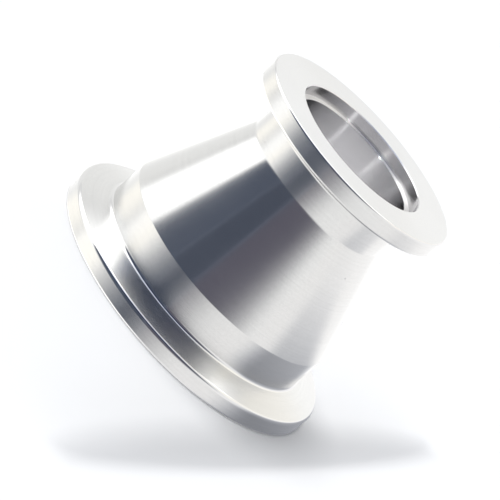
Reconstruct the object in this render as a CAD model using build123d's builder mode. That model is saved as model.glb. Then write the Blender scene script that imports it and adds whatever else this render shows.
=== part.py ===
from build123d import *
import os
from math import radians, tan

# Stainless steel reducer between two clamped vacuum flanges, of 40 mm and 25 mm nominal bore.
# It is turned from one bar, so it is modelled as a lathe cuts it: one half section for the
# outside, one for the flow passage, with every radius and broken edge drawn in the section.
# Z = 0 is the large sealing face, and the small sealing face lies at overall_length.
# All sizes are in millimetres and degrees.

overall_length = 40.0

# Large flange, where the part stands
large_rim_diameter = 55.0
large_rim_thickness = 3.0
large_rim_corner_radius = 0.65
large_recess_diameter = 41.2
large_recess_depth = 2.2
large_ledge_width = 1.6

# Small flange
small_rim_diameter = 40.0
small_rim_thickness = 3.1
small_rim_corner_radius = 0.55
small_recess_diameter = 26.2
small_recess_depth = 2.2
small_ledge_width = 1.1

# Back of both flanges, where the clamp's jaws pull on a slope
clamp_slope_angle = 15.0
clamp_root_radius = 0.65

# Body between the flanges: hub, cone and neck
hub_length = 10.9
hub_wall = 2.7
neck_length = 9.8
neck_wall = 2.5
hub_edge_radius = 0.3
neck_blend_radius = 1.0
passage_blend_radius = 1.5

# Edges as the last cuts of the turning leave them
rim_edge_radius = 0.3
recess_edge_break = 0.15
recess_floor_radius = 0.3
bore_edge_break = 0.15

# Radii that follow, from the passage outwards
large_recess_radius = large_recess_diameter / 2
large_bore_radius = large_recess_radius - large_ledge_width
hub_radius = large_bore_radius + hub_wall
large_rim_radius = large_rim_diameter / 2
small_recess_radius = small_recess_diameter / 2
small_bore_radius = small_recess_radius - small_ledge_width
neck_radius = small_bore_radius + neck_wall
small_rim_radius = small_rim_diameter / 2

# Heights that follow, from the large face upwards
slope_rise = tan(radians(clamp_slope_angle))
hub_root_height = large_rim_thickness + (large_rim_radius - hub_radius) * slope_rise
hub_end_height = hub_length
neck_start_height = overall_length - neck_length
small_rim_start_height = overall_length - small_rim_thickness
neck_root_height = small_rim_start_height - (small_rim_radius - neck_radius) * slope_rise
small_recess_height = overall_length - small_recess_depth


def corner(section, radius, height):
    """The corner of a half section at this radius and height."""
    return section.vertices().sort_by_distance((radius, height))[0]


with BuildPart() as reducer_body:
    # The outside: large rim, clamp slope and hub, then the cone, then neck, clamp slope and small rim
    with BuildSketch(Plane.XZ) as outside:
        with BuildLine():
            Polyline(
                (0, 0),
                (large_rim_radius, 0),
                (large_rim_radius, large_rim_thickness),
                (hub_radius, hub_root_height),
                (hub_radius, hub_end_height),
                (neck_radius, neck_start_height),
                (neck_radius, neck_root_height),
                (small_rim_radius, small_rim_start_height),
                (small_rim_radius, overall_length),
                (0, overall_length),
                close=True,
            )
        make_face()

        # Back corners of the rims, and the roots where the clamp slopes meet hub and neck
        fillet(corner(outside, large_rim_radius, large_rim_thickness), large_rim_corner_radius)
        fillet(corner(outside, small_rim_radius, small_rim_start_height), small_rim_corner_radius)
        fillet(corner(outside, hub_radius, hub_root_height), clamp_root_radius)
        fillet(corner(outside, neck_radius, neck_root_height), clamp_root_radius)

        # The ends of the cone: a nearly sharp edge at the hub, the tool's nose radius at the neck
        fillet(corner(outside, hub_radius, hub_end_height), hub_edge_radius)
        fillet(corner(outside, neck_radius, neck_start_height), neck_blend_radius)

        # Rounded edges round the sealing faces
        fillet(corner(outside, large_rim_radius, 0), rim_edge_radius)
        fillet(corner(outside, small_rim_radius, overall_length), rim_edge_radius)
    revolve(axis=Axis.Z)

    # The flow passage: a recess for the centring ring at each end, a bore behind it, and the taper
    with BuildSketch(Plane.XZ) as passage:
        with BuildLine():
            Polyline(
                (0, 0),
                (large_recess_radius, 0),
                (large_recess_radius, large_recess_depth),
                (large_bore_radius, large_recess_depth),
                (large_bore_radius, hub_end_height),
                (small_bore_radius, neck_start_height),
                (small_bore_radius, small_recess_height),
                (small_recess_radius, small_recess_height),
                (small_recess_radius, overall_length),
                (0, overall_length),
                close=True,
            )
        make_face()

        # Smooth way through for the gas, and the boring tool's radius in the corners of the recesses
        fillet(corner(passage, large_bore_radius, hub_end_height), passage_blend_radius)
        fillet(corner(passage, small_bore_radius, neck_start_height), passage_blend_radius)
        fillet(corner(passage, large_recess_radius, large_recess_depth), recess_floor_radius)
        fillet(corner(passage, small_recess_radius, small_recess_height), recess_floor_radius)

        # The ledges' inner edges are broken, so that the centring ring isn't nicked
        chamfer(corner(passage, large_bore_radius, large_recess_depth), bore_edge_break)
        chamfer(corner(passage, small_bore_radius, small_recess_height), bore_edge_break)
    revolve(axis=Axis.Z, mode=Mode.SUBTRACT)

    # Mouths of the recesses, where the two cuts meet on the sealing faces
    for face, mouth_radius in ((Axis.Z.reverse(), large_recess_radius), (Axis.Z, small_recess_radius)):
        rings = reducer_body.faces().filter_by(GeomType.PLANE).sort_by(face)[-1].edges()
        mouth = rings.sort_by(lambda ring: abs(ring.radius - mouth_radius))[0]
        chamfer(mouth, recess_edge_break)

reducer_body.part.label = "reducer_body"
os.makedirs("parts", exist_ok=True)
export_step(reducer_body.part, "parts/reducer_body.step")
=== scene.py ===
# Stainless steel reducer between two clamped vacuum flanges, dressed for a product picture.
# The part stands on its large flange. Sizes in the dictionaries are millimetres and degrees.
from math import cos, pi, radians, sin, tan

import bmesh
import bpy
from mathutils import Matrix, Vector


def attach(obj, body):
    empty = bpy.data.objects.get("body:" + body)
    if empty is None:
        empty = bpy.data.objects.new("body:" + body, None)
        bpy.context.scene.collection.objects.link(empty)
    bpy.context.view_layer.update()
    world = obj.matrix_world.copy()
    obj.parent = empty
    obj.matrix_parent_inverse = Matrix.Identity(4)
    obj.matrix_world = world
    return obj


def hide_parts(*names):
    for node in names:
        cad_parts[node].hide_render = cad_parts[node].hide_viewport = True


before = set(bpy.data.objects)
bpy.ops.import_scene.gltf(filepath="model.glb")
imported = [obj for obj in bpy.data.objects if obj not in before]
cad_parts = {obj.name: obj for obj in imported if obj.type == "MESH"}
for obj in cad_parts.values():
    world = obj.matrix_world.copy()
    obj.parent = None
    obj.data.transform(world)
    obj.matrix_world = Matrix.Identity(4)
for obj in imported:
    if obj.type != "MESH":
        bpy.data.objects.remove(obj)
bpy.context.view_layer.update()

scene = bpy.context.scene
mm = 0.001


def srgb(hexColour):
    # sRGB hex to the linear colour that the shaders take
    values = [int(hexColour[i:i + 2], 16) / 255 for i in (1, 3, 5)]
    return [v / 12.92 if v <= 0.04045 else ((v + 0.055) / 1.055) ** 2.4 for v in values] + [1.0]


def addNode(tree, kind, inputs=None, **settings):
    # inputs holds a value or the output socket that feeds it
    node = tree.nodes.new(kind)
    for name, value in settings.items():
        setattr(node, name, value)
    for socket, value in (inputs or {}).items():
        if isinstance(value, bpy.types.NodeSocket):
            tree.links.new(value, node.inputs[socket])
        else:
            node.inputs[socket].default_value = value
    return node


def emptyTree(owner):
    owner.use_nodes = True
    owner.node_tree.nodes.clear()
    return owner.node_tree


def addObject(name, data):
    obj = bpy.data.objects.new(name, data)
    scene.collection.objects.link(obj)
    return obj


def finishMesh(name, mesh, *materials):
    data = bpy.data.meshes.new(name)
    mesh.to_mesh(data)
    mesh.free()
    for material in materials:
        data.materials.append(material)
    return addObject(name, data)


# Camera, placed where the photo's edge circles put it; the roll tilts the part as it lies in the frame
photoCamera = {
    "place": (0.346, -450.724, 167.879),
    "elevation": 18.826,
    "roll": 48.703,
    "lens": 209.89, "sensor": 36.0,
    "clip": (20, 20000),
}

cameraData = bpy.data.cameras.new("photoCamera")
cameraData.sensor_width = photoCamera["sensor"]
cameraData.lens = photoCamera["lens"]
cameraData.clip_start, cameraData.clip_end = (distance * mm for distance in photoCamera["clip"])
camera = addObject("photoCamera", cameraData)
cameraTurn = (Matrix.Rotation(radians(90 - photoCamera["elevation"]), 4, "X")
              @ Matrix.Rotation(radians(photoCamera["roll"]), 4, "Z"))
camera.matrix_world = Matrix.Translation(Vector(photoCamera["place"]) * mm) @ cameraTurn
scene.camera = camera
print("stage: camera set")


# Steel, bright drawn bar turned on a lathe. What all its cuts share:
steelBar = {
    "arcs": 0.15,             # how far a groove's tone changes on its way round
    "grooveDetail": 3.0, "grooveRoughness": 0.6,
    "patchRange": (0.3, 0.7), "patchDetail": 2.0,
    "grainShare": 0.4,        # of the tone, the rest follows the grooves
    "pitStrength": 0.6,
    "spreadTurn": 0.25,       # highlights are drawn out across the grooves
}


def buildSteel(name, cut):
    look = {**steelBar, **cut}
    material = bpy.data.materials.new(name)
    tree = emptyTree(material)
    place = addNode(tree, "ShaderNodeTexCoord").outputs["Object"]
    split = addNode(tree, "ShaderNodeSeparateXYZ", {0: place})
    flat = addNode(tree, "ShaderNodeCombineXYZ", {0: split.outputs["X"], 1: split.outputs["Y"]})
    radius = addNode(tree, "ShaderNodeVectorMath", {0: flat.outputs[0]}, operation="LENGTH")
    outward = addNode(tree, "ShaderNodeVectorMath", {0: flat.outputs[0]}, operation="NORMALIZE")
    around = addNode(tree, "ShaderNodeVectorMath", {0: (0, 0, 1), 1: outward.outputs[0]}, operation="CROSS_PRODUCT")

    # Grooves run round the axis: the pattern hardly changes along the turn and fast across it
    arc = addNode(tree, "ShaderNodeVectorMath", {0: outward.outputs[0], "Scale": look["arcs"]}, operation="SCALE")
    arcSplit = addNode(tree, "ShaderNodeSeparateXYZ", {0: arc.outputs[0]})
    across = addNode(tree, "ShaderNodeMath", {0: radius.outputs["Value"], 1: 1 / (look["pitch"] * mm)},
                     operation="MULTIPLY")
    along = addNode(tree, "ShaderNodeMath", {0: split.outputs["Z"], 1: 1 / (look["pitch"] * mm)},
                    operation="MULTIPLY")
    ring = addNode(tree, "ShaderNodeCombineXYZ", {0: arcSplit.outputs["X"], 1: arcSplit.outputs["Y"],
                                                  2: across.outputs[0]})
    grooves = addNode(tree, "ShaderNodeTexNoise", {
        "Vector": ring.outputs[0], "W": along.outputs[0], "Scale": 1.0,
        "Detail": look["grooveDetail"], "Roughness": look["grooveRoughness"],
    }, noise_dimensions="4D")
    bump = addNode(tree, "ShaderNodeBump", {"Strength": 1.0, "Distance": look["depth"] * mm,
                                            "Height": grooves.outputs["Fac"]})

    # Patches where the tool cut a little smoother
    patches = addNode(tree, "ShaderNodeTexNoise", {"Vector": place, "Scale": 1 / (look["patch"] * mm),
                                                   "Detail": look["patchDetail"]})
    smoothest, roughest = look["patchRange"]
    rough = addNode(tree, "ShaderNodeMapRange", {
        "Value": patches.outputs["Fac"], "From Min": smoothest, "From Max": roughest,
        "To Min": look["roughness"] - look["roughnessSpread"], "To Max": look["roughness"] + look["roughnessSpread"],
    })

    # Tone of the steel, from the grooves, the metal's grain and a few small pits
    grain = addNode(tree, "ShaderNodeTexNoise", {"Vector": place, "Scale": 1 / (look["grain"] * mm), "Detail": 1.0})
    uneven = addNode(tree, "ShaderNodeMix", {"Factor": look["grainShare"], "A": grooves.outputs["Fac"],
                                             "B": grain.outputs["Fac"]}, data_type="FLOAT")
    tone = addNode(tree, "ShaderNodeMix", {"Factor": uneven.outputs[0], "A": srgb(look["dark"]),
                                           "B": srgb(look["light"])}, data_type="RGBA")
    pits = addNode(tree, "ShaderNodeTexVoronoi", {"Vector": place, "Scale": 1 / (look["pitSpacing"] * mm)})
    pit = addNode(tree, "ShaderNodeMapRange", {
        "Value": pits.outputs["Distance"], "From Min": look["pitSize"] / look["pitSpacing"], "From Max": 0.0,
        "To Max": look["pitStrength"],
    })
    tone = addNode(tree, "ShaderNodeMix", {"Factor": pit.outputs["Result"], "A": tone.outputs[2],
                                           "B": srgb(look["pitColour"])}, data_type="RGBA")
    shader = addNode(tree, "ShaderNodeBsdfPrincipled", {
        "Base Color": tone.outputs[2],
        "Metallic": 1.0,
        "Roughness": rough.outputs["Result"],
        "Anisotropic": look["anisotropy"],
        "Anisotropic Rotation": look["spreadTurn"],
        "Tangent": around.outputs[0],
        "Normal": bump.outputs[0],
    })
    addNode(tree, "ShaderNodeOutputMaterial", {"Surface": shader.outputs[0]})
    return material


# The pitches are real ones, 0.2 to 0.3 mm, about a pixel wide. The pits are drawn two or three times too wide to show
reducerSteels = {
    # Fine-turned outside: reflections stay sharp round the axis and run out along it
    "turned": buildSteel("stainless_steel_fine_turned", {
        "light": "#E2E2E1", "dark": "#CFCFCE",
        "roughness": 0.21, "roughnessSpread": 0.02, "anisotropy": 0.8,
        "pitch": 0.25, "depth": 0.0015, "patch": 9.0, "grain": 0.4,
        "pitSpacing": 4.5, "pitSize": 0.22, "pitColour": "#6A6A6E",
    }),
    # Faced ends: flat and softer, with rings that spread the light evenly
    "faced": buildSteel("stainless_steel_faced", {
        "light": "#E0E0DF", "dark": "#D6D6D6",
        "roughness": 0.32, "roughnessSpread": 0.03, "anisotropy": 0.6,
        "pitch": 0.2, "depth": 0.001, "patch": 7.0, "grain": 0.5,
        "pitSpacing": 6.0, "pitSize": 0.12, "pitColour": "#8A8A8C",
    }),
    # Bored inside: the boring bar leaves slightly wider rings
    "bored": buildSteel("stainless_steel_bored", {
        "light": "#D8D7D8", "dark": "#CCCCCE",
        "roughness": 0.17, "roughnessSpread": 0.01, "anisotropy": 1.0,
        "pitch": 0.3, "depth": 0.001, "patch": 9.0, "grain": 0.5,
        "pitSpacing": 6.0, "pitSize": 0.12, "pitColour": "#6A6A6E",
    }),
    # Rounded edges and roots: a polishing stone leaves them smoother, so they draw thin hard lines
    "polished": buildSteel("stainless_steel_polished_edge", {
        "light": "#E0E0DF", "dark": "#D8D8D8",
        "roughness": 0.13, "roughnessSpread": 0.01, "anisotropy": 0.4,
        "pitch": 0.2, "depth": 0.0003, "patch": 9.0, "grain": 0.5,
        "pitSpacing": 6.0, "pitSize": 0.12, "pitColour": "#6A6A6E",
    }),
    # Ledges in the recesses: the boring bar's end cuts them coarser, so they stay light
    "ledge": buildSteel("stainless_steel_ledge", {
        "light": "#E4E3E1", "dark": "#DAD9D8",
        "roughness": 0.5, "roughnessSpread": 0.03, "anisotropy": 0.9,
        "pitch": 0.25, "depth": 0.0015, "patch": 7.0, "grain": 0.5,
        "pitSpacing": 6.0, "pitSize": 0.12, "pitColour": "#8A8A8C",
    }),
}
print("stage: steel ready")


# The reducer, a half section spun round the axis
reducer = {
    "length": 40.0,
    "largeRim": 27.5, "largeRimThickness": 3.0, "largeRimCorner": 0.65,
    "largeRecess": 20.6, "largeBore": 19.0,
    "smallRim": 20.0, "smallRimThickness": 3.1, "smallRimCorner": 0.55,
    "smallRecess": 13.1, "smallBore": 12.0,
    "recessDepth": 2.2,
    "clampSlope": 15.0, "clampRoot": 0.65,
    "hub": 21.7, "hubEnd": 10.9, "hubEdge": 0.3,
    "neck": 14.5, "neckStart": 30.2, "neckBlend": 1.0,
    "passageBlend": 1.5,
    "rimEdge": 0.3, "mouthBreak": 0.15, "boreBreak": 0.08, "recessFloor": 0.08,
    "steps": 384,
    "support": 0.04, "longRun": 0.48,     # a cut this near both ends keeps each longer run flat beside its corners
    "doubles": 0.001,
    "flatFace": 0.98,                     # least upward part of a normal on the ends and ledges
    "rounded": (0.1, 0.95),               # upward part of the normals on rounded edges and roots
    "unpolished": (5.2, 37.7),            # no polished edges between these heights
    "sharpEdge": 28,
}


def buildReducer(size):
    rise = tan(radians(size["clampSlope"]))
    length, ledge = size["length"], size["recessDepth"]
    hubRoot = size["largeRimThickness"] + (size["largeRim"] - size["hub"]) * rise
    smallBack = length - size["smallRimThickness"]
    neckRoot = smallBack - (size["smallRim"] - size["neck"]) * rise
    # radius, height, size of the corner, and segments: one for a broken edge, more for a radius
    corners = [
        (size["largeRecess"], 0, size["mouthBreak"], 1),
        (size["largeRim"], 0, size["rimEdge"], 5),
        (size["largeRim"], size["largeRimThickness"], size["largeRimCorner"], 6),
        (size["hub"], hubRoot, size["clampRoot"], 6),
        (size["hub"], size["hubEnd"], size["hubEdge"], 4),
        (size["neck"], size["neckStart"], size["neckBlend"], 5),
        (size["neck"], neckRoot, size["clampRoot"], 6),
        (size["smallRim"], smallBack, size["smallRimCorner"], 7),
        (size["smallRim"], length, size["rimEdge"], 5),
        (size["smallRecess"], length, size["mouthBreak"], 1),
        (size["smallRecess"], length - ledge, size["recessFloor"], 4),
        (size["smallBore"], length - ledge, size["boreBreak"], 3),
        (size["smallBore"], size["neckStart"], size["passageBlend"], 5),
        (size["largeBore"], size["hubEnd"], size["passageBlend"], 5),
        (size["largeBore"], ledge, size["boreBreak"], 3),
        (size["largeRecess"], ledge, size["recessFloor"], 4),
    ]
    mesh = bmesh.new()
    section = [mesh.verts.new((radius * mm, 0, height * mm)) for radius, height, _, _ in corners]
    for vert, after in zip(section, section[1:] + section[:1]):
        mesh.edges.new((vert, after))
    for vert, (_, _, corner, segments) in zip(section, corners):
        near, far = [(edge.other_vert(vert).co - vert.co) for edge in vert.link_edges]
        # a radius begins further from the corner than it is long where the corner is sharp
        reach = corner if segments == 1 else corner / tan(near.angle(far) / 2)
        bmesh.ops.bevel(mesh, geom=[vert], offset=reach * mm, offset_type="OFFSET", affect="VERTICES",
                        segments=segments, profile=0.5, material=-1)
    for run in [edge for edge in mesh.edges if edge.calc_length() > size["longRun"] * mm]:
        near, far = run.verts
        other, _ = bmesh.utils.edge_split(run, near, size["support"] * mm / run.calc_length())
        longer = max((run, other), key=lambda edge: edge.calc_length())
        bmesh.utils.edge_split(longer, far, size["support"] * mm / longer.calc_length())
    bmesh.ops.spin(mesh, geom=mesh.verts[:] + mesh.edges[:], cent=(0, 0, 0), axis=(0, 0, 1), angle=2 * pi,
                   steps=size["steps"], use_merge=True)
    bmesh.ops.remove_doubles(mesh, verts=mesh.verts[:], dist=size["doubles"] * mm)
    bmesh.ops.recalc_face_normals(mesh, faces=mesh.faces[:])

    # Each face gets the steel of the cut that made it
    slots = list(reducerSteels)
    low, high = (height * mm for height in size["unpolished"])
    leastRise, mostRise = size["rounded"]
    for face in mesh.faces:
        face.smooth = True
        middle = face.calc_center_median()
        outward = Vector((middle.x, middle.y, 0)).normalized()
        cut = "turned"
        if abs(face.normal.z) > size["flatFace"]:
            onEnd = min(middle.z, length * mm - middle.z) < size["support"] * mm
            cut = "faced" if onEnd else "ledge"
        elif face.normal.dot(outward) < 0:
            cut = "bored"
        elif leastRise < abs(face.normal.z) < mostRise and not low < middle.z < high:
            cut = "polished"
        face.material_index = slots.index(cut)
    for edge in mesh.edges:
        edge.smooth = edge.calc_face_angle(0) < radians(size["sharpEdge"])
    return finishMesh("reducer_turned", mesh, *reducerSteels.values())


reducerTurned = buildReducer(reducer)
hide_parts("reducer_body")
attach(reducerTurned, "root")
print("stage: reducer turned,", len(reducerTurned.data.polygons), "faces")


# Studio, held in the photo's own frame: right, up and towards the camera, from the part's middle.
# A card's corners are given in its own plane, from its place, and its light is drawn by ramps.
# A ramp says what it reads, the two places between which it runs, and its level at either
studioMiddle = (0, 0, 20)
studioTurn = cameraTurn.copy()
studioPlace = Matrix.Translation(Vector(studioMiddle) * mm) @ studioTurn


def glowMaterial(name, look):
    material = bpy.data.materials.new(name)
    tree = emptyTree(material)
    place = addNode(tree, "ShaderNodeTexCoord").outputs["Object"]
    split = addNode(tree, "ShaderNodeSeparateXYZ", {0: place})
    reads = {"X": split.outputs["X"], "Y": split.outputs["Y"]}
    for slant, (right, up) in look.get("slants", {}).items():
        reads[slant] = addNode(tree, "ShaderNodeVectorMath", {0: place, 1: (right, up, 0)},
                               operation="DOT_PRODUCT").outputs["Value"]
    ramps = {}
    for ramp, (read, begin, end, before, after) in look["ramps"].items():
        ramps[ramp] = addNode(tree, "ShaderNodeMapRange", {
            "Value": reads[read], "From Min": begin * mm, "From Max": end * mm, "To Min": before, "To Max": after,
        }, interpolation_type="LINEAR" if ramp in look.get("even", ()) else "SMOOTHSTEP").outputs["Result"]
    return material, tree, reads, ramps


def showInReflections(obj, tree, colour, strength):
    # the object glows in the steel's reflections, and nothing else sees it
    light = addNode(tree, "ShaderNodeEmission", {"Color": colour, "Strength": strength})
    addNode(tree, "ShaderNodeOutputMaterial", {"Surface": light.outputs[0]})
    obj.visible_camera = False
    obj.visible_diffuse = False
    obj.visible_shadow = False
    obj.visible_transmission = False
    obj.visible_volume_scatter = False


def buildCard(name, card, material):
    (left, low), (right, high) = card["low"], card["high"]
    mesh = bmesh.new()
    bmesh.ops.create_grid(mesh, x_segments=1, y_segments=1, size=0.5)
    bmesh.ops.scale(mesh, vec=((right - left) * mm, (high - low) * mm, 1), verts=mesh.verts[:])
    bmesh.ops.translate(mesh, vec=((left + right) / 2 * mm, (low + high) / 2 * mm, 0), verts=mesh.verts[:])
    obj = finishMesh(name, mesh, material)
    lean, aside = card["turn"]
    obj.matrix_world = (studioPlace @ Matrix.Translation(Vector(card["place"]) * mm)
                        @ Matrix.Rotation(radians(aside), 4, "Y") @ Matrix.Rotation(radians(lean), 4, "X"))
    return obj


# Overhead softbox: brighter to the right, dimmer at its front edge, and even at the back
softbox = {
    "place": (0, 500, 0), "turn": (90, 10), "low": (-950, -400), "high": (1300, 167),
    "colour": "#FFFFFF", "backLevel": 0.92,
    "ramps": {
        "side": ("X", -450, -100, 1.45, 2.3),
        "back": ("Y", -310, -190, 0, 1),
        "front": ("Y", 122, 167, 1, 0.45),
    },
}

cloth, tree, _, ramps = glowMaterial("softbox_cloth", softbox)
level = addNode(tree, "ShaderNodeMix", {"Factor": ramps["back"], "A": softbox["backLevel"], "B": ramps["side"]},
                data_type="FLOAT")
level = addNode(tree, "ShaderNodeMath", {0: level.outputs[0], 1: ramps["front"]}, operation="MULTIPLY")
showInReflections(buildCard("softbox", softbox, cloth), tree, srgb(softbox["colour"]), level.outputs[0])

# Dark room behind the camera: two dark cloths with piping, a black gap over them and the ceiling beyond it,
# a window, the pale table's front edge at the foot, and a pale wall on the left
darkRoom = {
    "place": (0, 0, 390), "turn": (0, 0), "low": (-1250, -1400), "high": (1000, 1400),
    "slants": {"along": (0.7513, 0.66), "across": (-0.66, 0.7513)},      # to the part's axis in the picture
    "ramps": {
        "upperCool": ("across", 255, 275, 0, 1),
        "mauveSide": ("across", 48, 56, 1, 0), "mauveTop": ("Y", 70, 120, 1, 0),
        "unlit": ("along", 140, 270, 0, 1), "gap": ("along", 290, 330, 0, 1), "ceiling": ("along", 540, 560, 0, 1),
        "windowSide": ("X", 330, 700, 0, 1), "windowTop": ("Y", 200, 400, 1, 0),
        "foot": ("Y", -385, -85, 1, 0), "wall": ("X", -950, -430, 1, 0),
    },
    "even": ("wall",),
    "pipingAt": (60, 268), "pipingHalf": 7,
    "cool": "#4F5563", "upperCool": "#575E6D", "mauve": "#63616D", "unlit": "#303F60", "piping": "#6A7080",
    "gap": "#101115", "ceiling": "#DFE8FF", "pale": "#FFFFFF",
    "level": 1.12,
}

cloth, tree, reads, ramps = glowMaterial("dark_cloth", darkRoom)
mauve = addNode(tree, "ShaderNodeMath", {0: ramps["mauveSide"], 1: ramps["mauveTop"]}, operation="MULTIPLY")
piping = 0.0
for line in darkRoom["pipingAt"]:
    near = addNode(tree, "ShaderNodeMath", {0: reads["across"], 1: line * mm, 2: darkRoom["pipingHalf"] * mm},
                   operation="COMPARE")
    piping = addNode(tree, "ShaderNodeMath", {0: piping, 1: near.outputs[0]}, operation="MAXIMUM").outputs[0]
window = addNode(tree, "ShaderNodeMath", {0: ramps["windowSide"], 1: ramps["windowTop"]}, operation="MULTIPLY")
pale = addNode(tree, "ShaderNodeMath", {0: ramps["foot"], 1: ramps["wall"]}, operation="MAXIMUM")
pale = addNode(tree, "ShaderNodeMath", {0: pale.outputs[0], 1: window.outputs[0]}, operation="MAXIMUM")
layers = {
    "upperCool": ramps["upperCool"], "mauve": mauve.outputs[0], "unlit": ramps["unlit"], "piping": piping,
    "gap": ramps["gap"], "ceiling": ramps["ceiling"], "pale": pale.outputs[0],
}
colour = srgb(darkRoom["cool"])
for layer, share in layers.items():
    colour = addNode(tree, "ShaderNodeMix", {"Factor": share, "A": colour, "B": srgb(darkRoom[layer])},
                     data_type="RGBA").outputs[2]
showInReflections(buildCard("dark_flag", darkRoom, cloth), tree, colour, darkRoom["level"])

# Table top, seen only in the steel: its glow is painted, a lit table with a painted soft shadow of the part on it
table = {
    "place": (0, -34, -5), "turn": (-78, 0), "low": (-450, -46), "high": (450, 450),
    "slants": {"skewed": (0.35, 1)},
    "ramps": {
        "shadowLeft": ("X", -24, -8, 0, 1), "shadowRight": ("X", 0, 46, 1, 0),
        "shadowFront": ("Y", -28, -15, 0, 1), "shadowBack": ("skewed", 10, 28, 1, 0),
        "light": ("Y", -30, 20, 1.14, 1.24), "farLeft": ("X", -70, -40, 1.5, 1),
    },
    "even": ("shadowRight",),
    "shadowDepth": 0.69, "lit": "#FFFEFE", "shaded": "#E9EFFF",
}

paintedShadowGlow, tree, _, ramps = glowMaterial("table_glow_painted_shadow", table)
# Painted shadow of the part: the glow is darker and bluer inside the four shadow ramps
shadow = table["shadowDepth"]
for side in ("shadowLeft", "shadowRight", "shadowFront", "shadowBack"):
    shadow = addNode(tree, "ShaderNodeMath", {0: shadow, 1: ramps[side]}, operation="MULTIPLY").outputs[0]
level = addNode(tree, "ShaderNodeMath", {0: 1.0, 1: shadow}, operation="SUBTRACT").outputs[0]
for gain in ("light", "farLeft"):
    level = addNode(tree, "ShaderNodeMath", {0: level, 1: ramps[gain]}, operation="MULTIPLY").outputs[0]
tint = addNode(tree, "ShaderNodeMix", {"Factor": shadow, "A": srgb(table["lit"]), "B": srgb(table["shaded"])},
               data_type="RGBA")
showInReflections(buildCard("table", table, paintedShadowGlow), tree, tint.outputs[2], level)

# Pale paper under the passage, as the part stands on the table, seen only in the steel: its glow is painted, with
# painted shade that makes it darker towards the front
passagePaper = {
    "radius": 25, "height": -0.3, "segments": 48, "colour": "#FFFFFF",
    "ramps": {"light": ("Y", -14, -4, 0.85, 1.45)},
}

paper, tree, _, ramps = glowMaterial("shaded_paper", passagePaper)
mesh = bmesh.new()
bmesh.ops.create_circle(mesh, cap_ends=True, segments=passagePaper["segments"], radius=passagePaper["radius"] * mm)
bmesh.ops.translate(mesh, vec=(0, 0, passagePaper["height"] * mm), verts=mesh.verts[:])
showInReflections(finishMesh("passage_floor", mesh, paper), tree, srgb(passagePaper["colour"]), ramps["light"])

# Three thin strip lamps over the small face, aimed into the bore: each draws a streak along its wall
streakLamps = {
    "places": [(18.5, -117, 46), (17.5, -40, 46), (17.5, 59, 46)],      # radius, bearing from the camera, height
    "width": 0.2, "height": 2.0,
    "aim": (0, 10, 36), "spread": 70, "power": 0.0002,
}

for radius, bearing, height in streakLamps["places"]:
    lampData = bpy.data.lights.new("streakLamp", "AREA")
    lampData.shape = "RECTANGLE"
    lampData.size, lampData.size_y = streakLamps["width"] * mm, streakLamps["height"] * mm
    lampData.spread = radians(streakLamps["spread"])
    lampData.energy = streakLamps["power"]
    lampData.diffuse_factor = 0.0
    lamp = addObject("streakLamp", lampData)
    lamp.location = Vector((sin(radians(bearing)) * radius, -cos(radians(bearing)) * radius, height)) * mm
    away = lamp.location - Vector(streakLamps["aim"]) * mm
    lamp.rotation_euler = away.to_track_quat("Z", "Y").to_euler()
    lamp.visible_camera = False

# White tent all round in the reflections: brightest at the horizon, creamy to the left and right.
# Its ramps read the direction in the studio's frame
tent = {
    "ramps": {
        "height": ("Y", 0.12, 0.52, 1.34, 1.05),
        "left": ("X", -0.42, -0.65, 0, 1),
        "right": ("X", 0.55, 0.75, 0, 1),
    },
    "leftGain": 1.34,
    "white": "#FFFFFE", "cream": "#FFFCF5",
    "fill": "#ECEFF5", "fillLevel": 0.66,      # lights the floor
    "backdrop": "#FFFFFF", "backdropLevel": 1.0,
}

world = bpy.data.worlds.new("tent")
scene.world = world
tree = emptyTree(world)
direction = addNode(tree, "ShaderNodeTexCoord").outputs["Generated"]
turned = addNode(tree, "ShaderNodeMapping", {"Vector": direction, "Rotation": studioTurn.inverted().to_euler()})
toward = addNode(tree, "ShaderNodeSeparateXYZ", {0: turned.outputs[0]})
ramps = {}
for ramp, (read, begin, end, before, after) in tent["ramps"].items():
    ramps[ramp] = addNode(tree, "ShaderNodeMapRange", {
        "Value": toward.outputs[read], "From Min": begin, "From Max": end, "To Min": before, "To Max": after,
    }, interpolation_type="SMOOTHSTEP").outputs["Result"]
gain = addNode(tree, "ShaderNodeMapRange", {"Value": ramps["left"], "To Min": 1.0, "To Max": tent["leftGain"]})
level = addNode(tree, "ShaderNodeMath", {0: ramps["height"], 1: gain.outputs["Result"]}, operation="MULTIPLY")
aside = addNode(tree, "ShaderNodeMath", {0: ramps["left"], 1: ramps["right"]}, operation="MAXIMUM")
cream = addNode(tree, "ShaderNodeMix", {"Factor": aside.outputs[0], "A": srgb(tent["white"]),
                                        "B": srgb(tent["cream"])}, data_type="RGBA")
mirrored = addNode(tree, "ShaderNodeBackground", {"Color": cream.outputs[2], "Strength": level.outputs[0]})
fill = addNode(tree, "ShaderNodeBackground", {"Color": srgb(tent["fill"]), "Strength": tent["fillLevel"]})
backdrop = addNode(tree, "ShaderNodeBackground", {"Color": srgb(tent["backdrop"]), "Strength": tent["backdropLevel"]})
path = addNode(tree, "ShaderNodeLightPath")
unseen = addNode(tree, "ShaderNodeMixShader", {0: path.outputs["Is Glossy Ray"], 1: fill.outputs[0],
                                               2: mirrored.outputs[0]})
seen = addNode(tree, "ShaderNodeMixShader", {0: path.outputs["Is Camera Ray"], 1: unseen.outputs[0],
                                             2: backdrop.outputs[0]})
addNode(tree, "ShaderNodeOutputWorld", {"Surface": seen.outputs[0]})

# Floor, a plain white sweep that the part stands on
sweep = {"size": 6000, "colour": "#F2F2F2", "roughness": 0.8}

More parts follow.
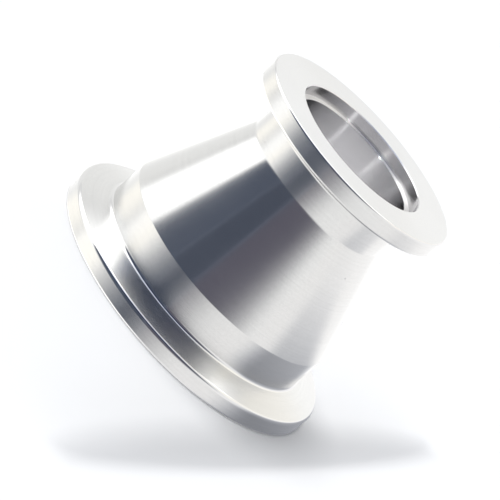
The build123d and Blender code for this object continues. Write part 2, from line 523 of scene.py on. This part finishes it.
floorPaper = bpy.data.materials.new("white_paper")
tree = emptyTree(floorPaper)
shader = addNode(tree, "ShaderNodeBsdfPrincipled", {"Base Color": srgb(sweep["colour"]),
                                                    "Roughness": sweep["roughness"], "Specular IOR Level": 0.0})
addNode(tree, "ShaderNodeOutputMaterial", {"Surface": shader.outputs[0]})
mesh = bmesh.new()
bmesh.ops.create_grid(mesh, x_segments=1, y_segments=1, size=sweep["size"] / 2 * mm)
floor = finishMesh("floor", mesh, floorPaper)
floor.visible_glossy = False      # the steel mirrors the studio's table instead

# Floor light, high over the left of the picture, so that the shadow stays close under the part
floorLight = {"bearing": -110, "elevation": 76, "angle": 25, "power": 1.95}

lampData = bpy.data.lights.new("floorLight", "SUN")
lampData.angle = radians(floorLight["angle"])
lampData.energy = floorLight["power"]
lamp = addObject("floorLight", lampData)
lean, bearing = radians(floorLight["elevation"]), radians(floorLight["bearing"])
lamp.location = Vector((sin(bearing) * cos(lean), -cos(bearing) * cos(lean), sin(lean)))
lamp.rotation_euler = lamp.location.to_track_quat("Z", "Y").to_euler()
lamp.visible_glossy = False
lamp.visible_camera = False

# A leaning oval of netting holds light off the floor along the lower side of the picture.
# Its edges are given as distance from the part's axis and height
netting = {"along": (-73, 59), "inside": (22, 17), "outside": (33, 6), "bearing": 70, "through": 0.52, "segments": 64}

net = bpy.data.materials.new("black_netting")
tree = emptyTree(net)
shader = addNode(tree, "ShaderNodeBsdfTransparent", {"Color": [netting["through"]] * 3 + [1.0]})
addNode(tree, "ShaderNodeOutputMaterial", {"Surface": shader.outputs[0]})
(nearEnd, farEnd), (inside, top), (outside, bottom) = netting["along"], netting["inside"], netting["outside"]
fall = Vector((outside - inside, bottom - top))
mesh = bmesh.new()
bmesh.ops.create_circle(mesh, cap_ends=True, segments=netting["segments"], radius=0.5)
bmesh.ops.scale(mesh, vec=(fall.length * mm, (farEnd - nearEnd) * mm, 1), verts=mesh.verts[:])
bmesh.ops.rotate(mesh, cent=(0, 0, 0), verts=mesh.verts[:],
                 matrix=Matrix.Rotation(Vector((1, 0)).angle_signed(fall), 3, "Y"))
bmesh.ops.translate(mesh, verts=mesh.verts[:], vec=Vector((inside + outside, nearEnd + farEnd, top + bottom)) / 2 * mm)
bmesh.ops.rotate(mesh, cent=(0, 0, 0), verts=mesh.verts[:],
                 matrix=Matrix.Rotation(radians(netting["bearing"] - 90), 3, "Z"))
oval = finishMesh("netting", mesh, net)
oval.visible_camera = False
oval.visible_glossy = False

scene.view_settings.view_transform = "Standard"
print("stage: studio lit")
